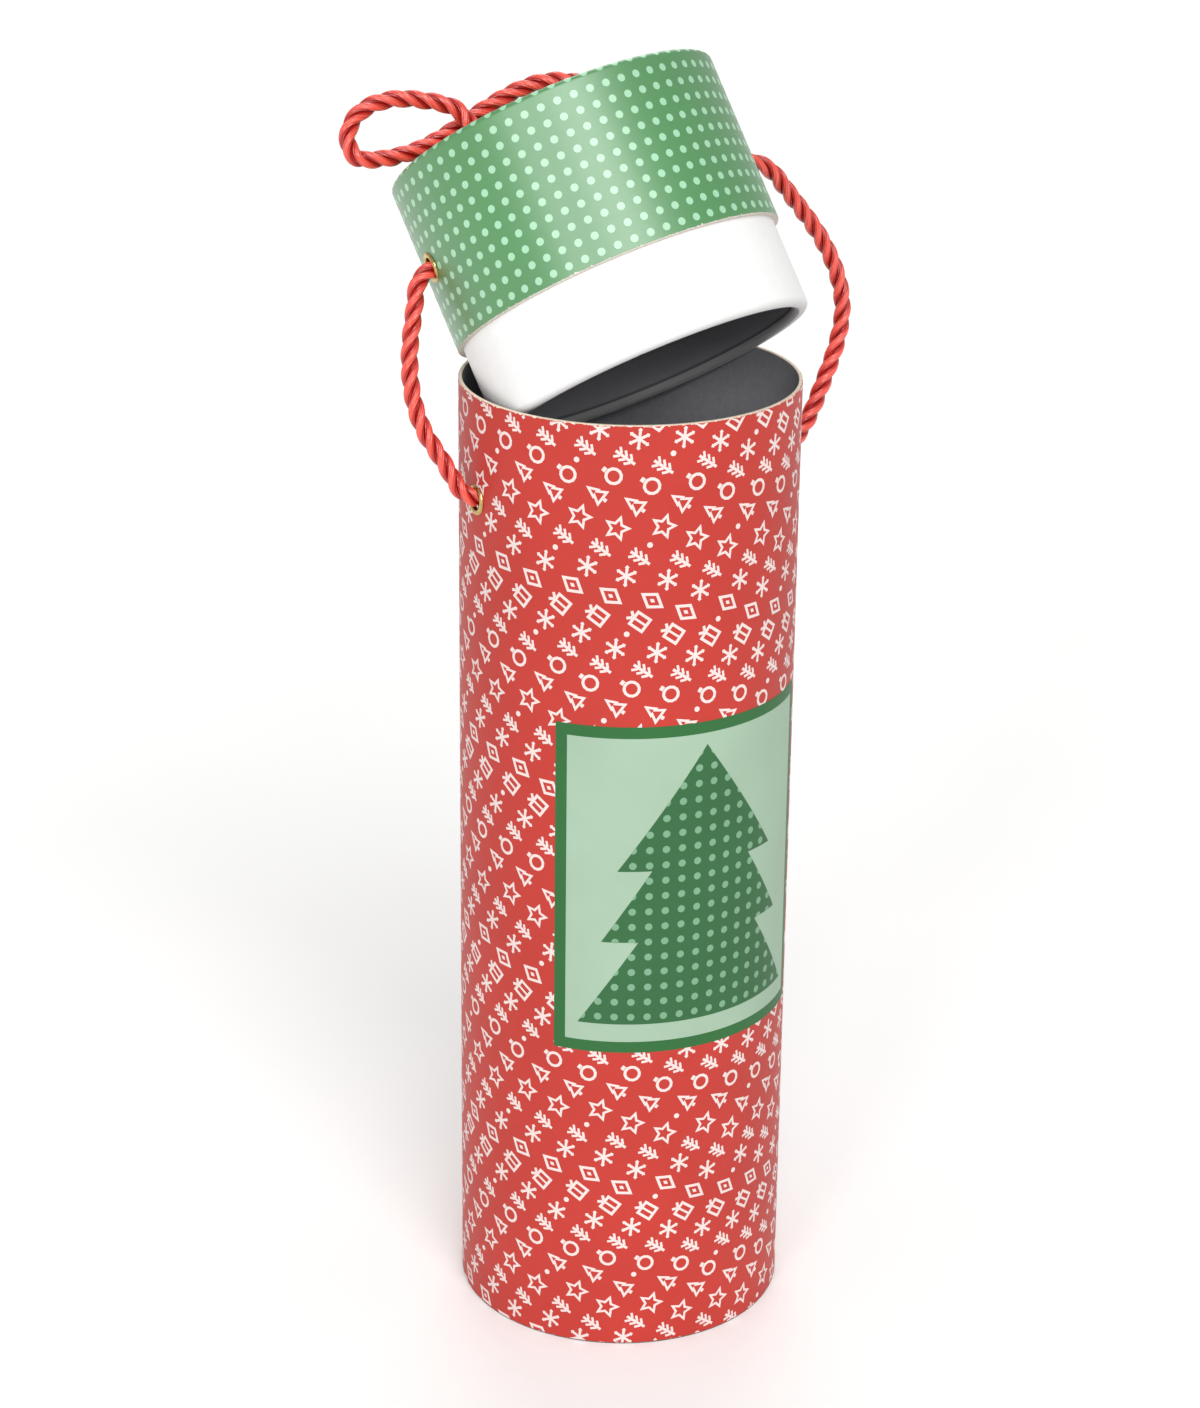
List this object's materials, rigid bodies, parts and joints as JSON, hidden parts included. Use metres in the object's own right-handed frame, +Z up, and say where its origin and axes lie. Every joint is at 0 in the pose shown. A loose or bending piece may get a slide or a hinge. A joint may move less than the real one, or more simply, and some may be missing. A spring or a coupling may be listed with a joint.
{
  "type": "gift tube box",
  "caption": "Tall round board gift tube with a lift-off necked lid that leans open in its mouth, brass eyelets, and a twisted cord run through tube and lid as a carrying handle.",
  "frame": {"origin": "centre of the foot, on the surface the tube stands on", "axes": "+Z up the tube, +X to the right of someone facing the printed panel, +Y away from them"},
  "size_m": [0.1449, 0.1137, 0.3702],
  "materials": {
    "tube_board": "bare kraft board edge",
    "lid_board": "grey-brown board edge",
    "red_print_paper": "red printed wrap with a satin coating",
    "green_print_paper": "green printed wrap with a satin coating",
    "white_paper": "white coated paper",
    "dark_lining_paper": "dark grey lining paper",
    "grey_paper": "plain grey paper",
    "brass": "bright stamped brass",
    "red_cord": "three-strand twisted satin cord"
  },
  "bodies": {
    "tube": {"tube_wall": "tube_board", "tube_wrap": "red_print_paper", "tube_lining": "dark_lining_paper", "base_board": "tube_board", "base_lining": "dark_lining_paper", "base_foot_paper": "grey_paper", "tube_eyelet_left": "brass", "tube_eyelet_right": "brass", "tube_washer_left": "brass", "tube_washer_right": "brass", "cord_knot_left": "red_cord", "cord_knot_right": "red_cord"},
    "outer_cord": {"cord_left_run": "red_cord", "cord_right_run": "red_cord"},
    "lid": {"lid_wall": "lid_board", "lid_wrap": "green_print_paper", "lid_top_board": "lid_board", "lid_top_paper": "green_print_paper", "lid_ceiling_paper": "dark_lining_paper", "neck_sleeve": "lid_board", "neck_cover": "white_paper", "neck_lining": "dark_lining_paper", "lid_eyelet_left": "brass", "lid_washer_left": "brass", "top_eyelet_left": "brass", "top_washer_left": "brass", "cord_inner_left": "red_cord", "lid_eyelet_right": "brass", "lid_washer_right": "brass", "top_eyelet_right": "brass", "top_washer_right": "brass", "cord_inner_right": "red_cord"},
    "handle": {"cord_handle": "red_cord"}
  },
  "joints": [
    {"name": "lid_lift", "type": "slide", "parent": "tube", "child": "outer_cord", "axis": [0, 0, 1], "range_m": [0, 0.035], "deforming": ["cord_left_run", "cord_right_run"]},
    {"name": "lid_tilt", "type": "hinge", "parent": "outer_cord", "child": "lid", "pos_m": [-0.01241, 0.01203, 0.32261], "axis": [-0.8813, -0.4131, -0.2295], "range_deg": [0, 45]},
    {"name": "handle_swing", "type": "hinge", "parent": "lid", "child": "handle", "pos_m": [-0.02443, 0.02368, 0.3478], "axis": [-0.8813, -0.4131, -0.2295], "range_deg": [-80, 35]}
  ]
}
